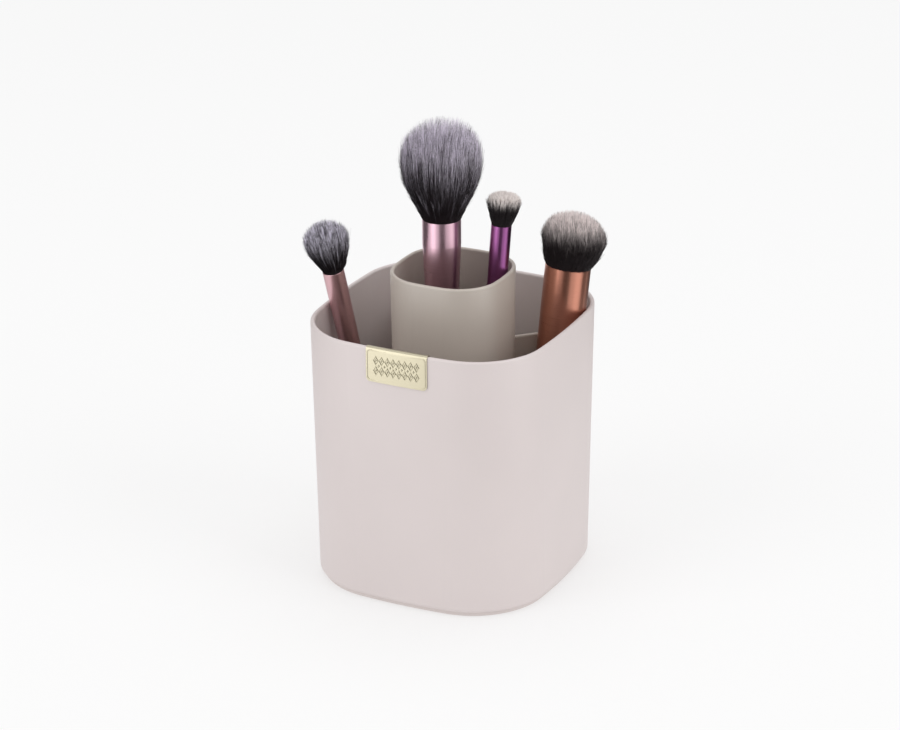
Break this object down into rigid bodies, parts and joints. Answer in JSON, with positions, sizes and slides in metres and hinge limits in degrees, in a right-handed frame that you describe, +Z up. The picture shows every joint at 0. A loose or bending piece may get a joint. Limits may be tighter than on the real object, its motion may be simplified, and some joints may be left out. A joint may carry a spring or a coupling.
{
  "type": "make-up brush cleaner and storage pot",
  "caption": "Bowed-square table pot with a raised washing cup on a lift-out insert with diagonal fins, holding soft make-up brushes with metal ferrules.",
  "frame": {"origin": "centre of the base pad's underside, on the table", "axes": "+Z up through the cup; the badge is on the -Y side; +X is to the right of someone facing the badge"},
  "size_m": [0.1259, 0.1172, 0.2175],
  "materials": {
    "pot_shell": "satin moulded plastic, warm light grey",
    "pad": "matte non-slip sheet",
    "badge_metal": "pale champagne gold, brushed and lacquered",
    "insert_moulding": "satin moulded plastic, taupe",
    "mat_silicone": "matte silicone",
    "glue": "set epoxy",
    "core": "raw turned wood",
    "grip_black": "soft-touch black",
    "powder_aluminium": "satin anodised aluminium",
    "powder_bristles": "fine synthetic filaments, dark at the root and pale at the tips",
    "detail_aluminium": "satin anodised aluminium",
    "detail_bristles": "fine synthetic filaments, dark at the root and pale at the tips",
    "highlighter_aluminium": "satin anodised aluminium",
    "highlighter_bristles": "fine synthetic filaments, dark at the root and pale at the tips",
    "foundation_aluminium": "satin anodised aluminium",
    "foundation_bristles": "fine synthetic filaments, dark at the root and pale at the tips"
  },
  "bodies": {
    "pot": {"outer_pot": "pot_shell", "base_pad": "pad", "label_badge": "badge_metal"},
    "insert": {"compartment_insert": "insert_moulding", "scrub_mat": "mat_silicone"},
    "powder_brush": {"powder_tuft": "powder_bristles", "powder_glue_plug": "glue", "powder_ferrule": "powder_aluminium", "powder_handle_core": "core", "powder_grip": "grip_black"},
    "detail_brush": {"detail_tuft": "detail_bristles", "detail_glue_plug": "glue", "detail_ferrule": "detail_aluminium", "detail_handle_core": "core", "detail_grip": "grip_black"},
    "highlighter_brush": {"highlighter_tuft": "highlighter_bristles", "highlighter_glue_plug": "glue", "highlighter_ferrule": "highlighter_aluminium", "highlighter_handle_core": "core", "highlighter_grip": "grip_black"},
    "foundation_brush": {"foundation_tuft": "foundation_bristles", "foundation_glue_plug": "glue", "foundation_ferrule": "foundation_aluminium", "foundation_handle_core": "core", "foundation_grip": "grip_black"}
  },
  "joints": [
    {"name": "insert_lift", "type": "slide", "parent": "pot", "child": "insert", "axis": [0, 0, 1], "range_m": [0, 0.15]},
    {"name": "powder_brush_lift", "type": "slide", "parent": "insert", "child": "powder_brush", "axis": [0, 0, 1], "range_m": [0, 0.15]},
    {"name": "detail_brush_lift", "type": "slide", "parent": "insert", "child": "detail_brush", "axis": [0.0664, 0.0262, 0.9974], "range_m": [0, 0.15]},
    {"name": "highlighter_brush_lift", "type": "slide", "parent": "insert", "child": "highlighter_brush", "axis": [-0.0797, -0.2263, 0.9708], "range_m": [0, 0.15]},
    {"name": "foundation_brush_lift", "type": "slide", "parent": "insert", "child": "foundation_brush", "axis": [0.0654, 0.1028, 0.9926], "range_m": [0, 0.15]}
  ]
}
